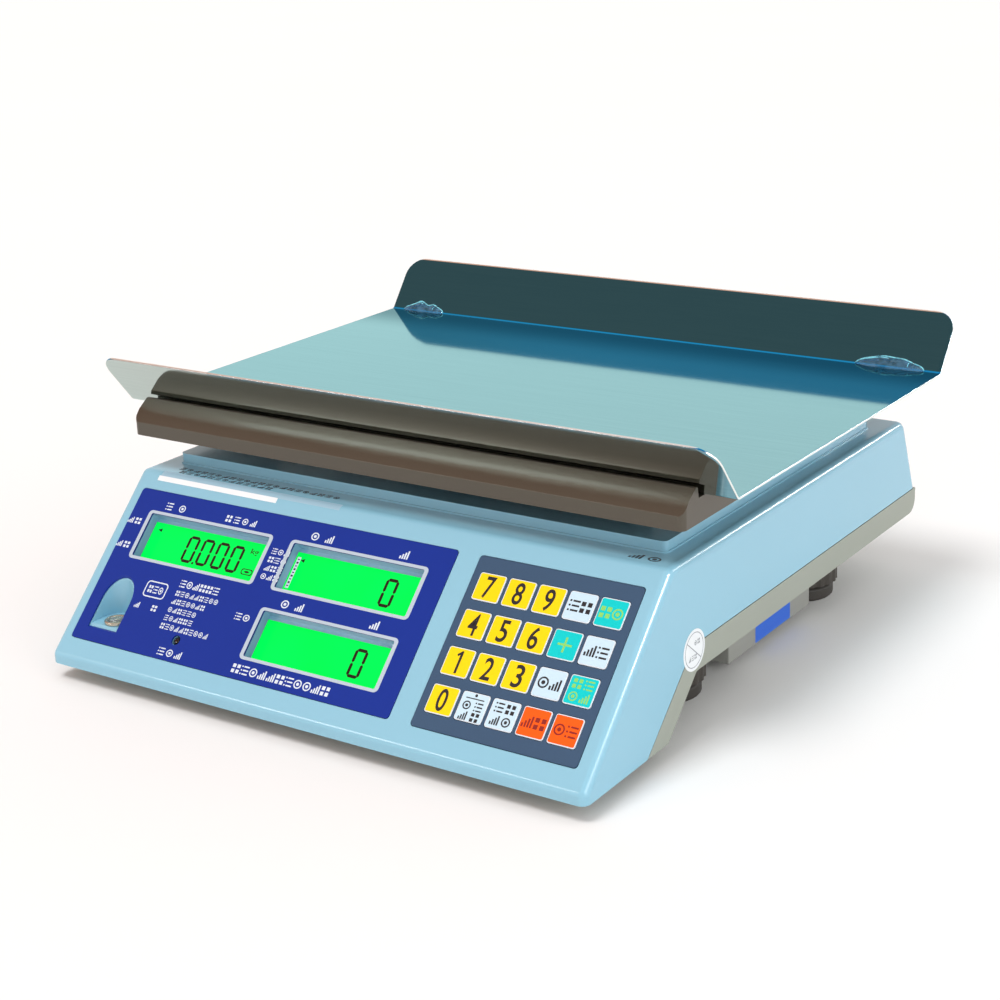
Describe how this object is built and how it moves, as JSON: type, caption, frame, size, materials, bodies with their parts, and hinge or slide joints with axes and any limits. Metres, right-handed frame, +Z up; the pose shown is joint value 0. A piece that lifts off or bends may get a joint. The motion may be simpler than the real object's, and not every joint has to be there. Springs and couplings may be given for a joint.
{
  "type": "retail price scale",
  "caption": "Counter price computing scale with a flanged stainless pan, a sloping panel with green backlit displays and a membrane keypad, and levelling feet.",
  "frame": {"origin": "on the surface the scale stands on, under the middle of its outline", "axes": "+X to the operator's right along the pan's length, +Y away from the operator, +Z up"},
  "size_m": [0.3948, 0.3828, 0.1619],
  "materials": {
    "housing": "glossy light blue moulded ABS",
    "base": "fine textured grey-green ABS",
    "battery_cover": "fine textured light grey ABS",
    "display_film": "deep blue printed film",
    "keypad_film": "slate blue printed film",
    "key_yellow": "yellow printed key",
    "key_pale": "pale blue printed key",
    "key_teal": "teal printed key",
    "key_orange": "orange printed key",
    "lcd": "green backlit display glass",
    "circuit_board": "solder resist green",
    "aluminium": "milled",
    "cast": "cast",
    "stainless": "satin stainless sheet",
    "support_paint": "brown metallic paint",
    "black_plastic": "fine textured",
    "rubber": "matte",
    "screw_steel": "zinc plated",
    "level_vial": "clear with yellow-green liquid",
    "led": "dark lens"
  },
  "bodies": {
    "housing": {"upper_housing": "housing", "lower_housing": "base", "display_overlay": "display_film", "keypad_overlay": "keypad_film", "keypad_switch_sheet": "black_plastic", "lcd_weight": "lcd", "lcd_unit_price": "lcd", "lcd_total": "lcd", "display_board": "circuit_board", "main_board": "circuit_board", "load_cell": "aluminium", "load_cell_block": "aluminium", "level_vial": "level_vial", "charge_led": "led", "battery": "black_plastic", "battery_cover": "battery_cover", "dc_jack": "black_plastic", "switch_bezel": "black_plastic", "case_screw_1": "screw_steel", "case_screw_2": "screw_steel", "case_screw_3": "screw_steel", "case_screw_4": "screw_steel"},
    "platform": {"spider": "cast", "platter_support": "support_paint", "bumper_1": "rubber", "bumper_2": "rubber", "bumper_3": "rubber", "bumper_4": "rubber"},
    "pan": {"pan": "stainless"},
    "key_7": {"key_7": "key_yellow"},
    "key_8": {"key_8": "key_yellow"},
    "key_9": {"key_9": "key_yellow"},
    "key_quantity": {"key_quantity": "key_pale"},
    "key_accumulate": {"key_accumulate": "key_teal"},
    "key_4": {"key_4": "key_yellow"},
    "key_5": {"key_5": "key_yellow"},
    "key_6": {"key_6": "key_yellow"},
    "key_add": {"key_add": "key_teal"},
    "key_recall": {"key_recall": "key_pale"},
    "key_1": {"key_1": "key_yellow"},
    "key_2": {"key_2": "key_yellow"},
    "key_3": {"key_3": "key_yellow"},
    "key_change": {"key_change": "key_pale"},
    "key_memory_clear": {"key_memory_clear": "key_teal"},
    "key_0": {"key_0": "key_yellow"},
    "key_point": {"key_point": "key_pale"},
    "key_price_clear": {"key_price_clear": "key_pale"},
    "key_zero": {"key_zero": "key_orange"},
    "key_tare": {"key_tare": "key_orange"},
    "rocker": {"switch_rocker": "black_plastic"},
    "foot_pad_front_left": {"foot_pad_front_left": "rubber"},
    "foot_wheel_front_left": {"foot_wheel_front_left": "black_plastic"},
    "foot_pad_front_right": {"foot_pad_front_right": "rubber"},
    "foot_wheel_front_right": {"foot_wheel_front_right": "black_plastic"},
    "foot_pad_rear_left": {"foot_pad_rear_left": "rubber"},
    "foot_wheel_rear_left": {"foot_wheel_rear_left": "black_plastic"},
    "foot_pad_rear_right": {"foot_pad_rear_right": "rubber"},
    "foot_wheel_rear_right": {"foot_wheel_rear_right": "black_plastic"}
  },
  "joints": [
    {"name": "platform_deflection", "type": "slide", "parent": "housing", "child": "platform", "axis": [0, 0, 1], "range_m": [-0.0004, 0], "stiffness_N_per_m": 300000, "springref_m": 0.0002, "deforming": ["load_cell"]},
    {"name": "pan_lift", "type": "slide", "parent": "platform", "child": "pan", "axis": [0, 0, 1], "range_m": [0, 0.05]},
    {"name": "key_7_press", "type": "slide", "parent": "housing", "child": "key_7", "axis": [0, 0.708, -0.7063], "range_m": [0, 0.0004], "stiffness_N_per_m": 4000},
    {"name": "key_8_press", "type": "slide", "parent": "housing", "child": "key_8", "axis": [0, 0.708, -0.7063], "range_m": [0, 0.0004], "stiffness_N_per_m": 4000},
    {"name": "key_9_press", "type": "slide", "parent": "housing", "child": "key_9", "axis": [0, 0.708, -0.7063], "range_m": [0, 0.0004], "stiffness_N_per_m": 4000},
    {"name": "key_quantity_press", "type": "slide", "parent": "housing", "child": "key_quantity", "axis": [0, 0.708, -0.7063], "range_m": [0, 0.0004], "stiffness_N_per_m": 4000},
    {"name": "key_accumulate_press", "type": "slide", "parent": "housing", "child": "key_accumulate", "axis": [0, 0.708, -0.7063], "range_m": [0, 0.0004], "stiffness_N_per_m": 4000},
    {"name": "key_4_press", "type": "slide", "parent": "housing", "child": "key_4", "axis": [0, 0.708, -0.7063], "range_m": [0, 0.0004], "stiffness_N_per_m": 4000},
    {"name": "key_5_press", "type": "slide", "parent": "housing", "child": "key_5", "axis": [0, 0.708, -0.7063], "range_m": [0, 0.0004], "stiffness_N_per_m": 4000},
    {"name": "key_6_press", "type": "slide", "parent": "housing", "child": "key_6", "axis": [0, 0.708, -0.7063], "range_m": [0, 0.0004], "stiffness_N_per_m": 4000},
    {"name": "key_add_press", "type": "slide", "parent": "housing", "child": "key_add", "axis": [0, 0.708, -0.7063], "range_m": [0, 0.0004], "stiffness_N_per_m": 4000},
    {"name": "key_recall_press", "type": "slide", "parent": "housing", "child": "key_recall", "axis": [0, 0.708, -0.7063], "range_m": [0, 0.0004], "stiffness_N_per_m": 4000},
    {"name": "key_1_press", "type": "slide", "parent": "housing", "child": "key_1", "axis": [0, 0.708, -0.7063], "range_m": [0, 0.0004], "stiffness_N_per_m": 4000},
    {"name": "key_2_press", "type": "slide", "parent": "housing", "child": "key_2", "axis": [0, 0.708, -0.7063], "range_m": [0, 0.0004], "stiffness_N_per_m": 4000},
    {"name": "key_3_press", "type": "slide", "parent": "housing", "child": "key_3", "axis": [0, 0.708, -0.7063], "range_m": [0, 0.0004], "stiffness_N_per_m": 4000},
    {"name": "key_change_press", "type": "slide", "parent": "housing", "child": "key_change", "axis": [0, 0.708, -0.7063], "range_m": [0, 0.0004], "stiffness_N_per_m": 4000},
    {"name": "key_memory_clear_press", "type": "slide", "parent": "housing", "child": "key_memory_clear", "axis": [0, 0.708, -0.7063], "range_m": [0, 0.0004], "stiffness_N_per_m": 4000},
    {"name": "key_0_press", "type": "slide", "parent": "housing", "child": "key_0", "axis": [0, 0.708, -0.7063], "range_m": [0, 0.0004], "stiffness_N_per_m": 4000},
    {"name": "key_point_press", "type": "slide", "parent": "housing", "child": "key_point", "axis": [0, 0.708, -0.7063], "range_m": [0, 0.0004], "stiffness_N_per_m": 4000},
    {"name": "key_price_clear_press", "type": "slide", "parent": "housing", "child": "key_price_clear", "axis": [0, 0.708, -0.7063], "range_m": [0, 0.0004], "stiffness_N_per_m": 4000},
    {"name": "key_zero_press", "type": "slide", "parent": "housing", "child": "key_zero", "axis": [0, 0.708, -0.7063], "range_m": [0, 0.0004], "stiffness_N_per_m": 4000},
    {"name": "key_tare_press", "type": "slide", "parent": "housing", "child": "key_tare", "axis": [0, 0.708, -0.7063], "range_m": [0, 0.0004], "stiffness_N_per_m": 4000},
    {"name": "power_switch", "type": "hinge", "parent": "housing", "child": "rocker", "pos_m": [-0.12, 0.1823, 0.074], "axis": [1, 0, 0], "range_deg": [-14, 0]},
    {"name": "foot_front_left_travel", "type": "slide", "parent": "housing", "child": "foot_pad_front_left", "axis": [0, 0, 1], "range_m": [-0.0051, 0.0039]},
    {"name": "foot_front_left_turn", "type": "hinge", "parent": "foot_pad_front_left", "child": "foot_wheel_front_left", "pos_m": [-0.1315, -0.0423, 0.015], "axis": [0, 0, 1], "range_deg": [-1440, 1080]},
    {"name": "foot_front_right_travel", "type": "slide", "parent": "housing", "child": "foot_pad_front_right", "axis": [0, 0, 1], "range_m": [-0.0051, 0.0039]},
    {"name": "foot_front_right_turn", "type": "hinge", "parent": "foot_pad_front_right", "child": "foot_wheel_front_right", "pos_m": [0.1315, -0.0423, 0.015], "axis": [0, 0, 1], "range_deg": [-1440, 1080]},
    {"name": "foot_rear_left_travel", "type": "slide", "parent": "housing", "child": "foot_pad_rear_left", "axis": [0, 0, 1], "range_m": [-0.0051, 0.0039]},
    {"name": "foot_rear_left_turn", "type": "hinge", "parent": "foot_pad_rear_left", "child": "foot_wheel_rear_left", "pos_m": [-0.1315, 0.1213, 0.015], "axis": [0, 0, 1], "range_deg": [-1440, 1080]},
    {"name": "foot_rear_right_travel", "type": "slide", "parent": "housing", "child": "foot_pad_rear_right", "axis": [0, 0, 1], "range_m": [-0.0051, 0.0039]},
    {"name": "foot_rear_right_turn", "type": "hinge", "parent": "foot_pad_rear_right", "child": "foot_wheel_rear_right", "pos_m": [0.1315, 0.1213, 0.015], "axis": [0, 0, 1], "range_deg": [-1440, 1080]}
  ],
  "couplings": [
    {"joint": "foot_front_left_travel", "follows": "foot_front_left_turn", "m_per_rad": 0.00019894},
    {"joint": "foot_front_right_travel", "follows": "foot_front_right_turn", "m_per_rad": 0.00019894},
    {"joint": "foot_rear_left_travel", "follows": "foot_rear_left_turn", "m_per_rad": 0.00019894},
    {"joint": "foot_rear_right_travel", "follows": "foot_rear_right_turn", "m_per_rad": 0.00019894}
  ]
}
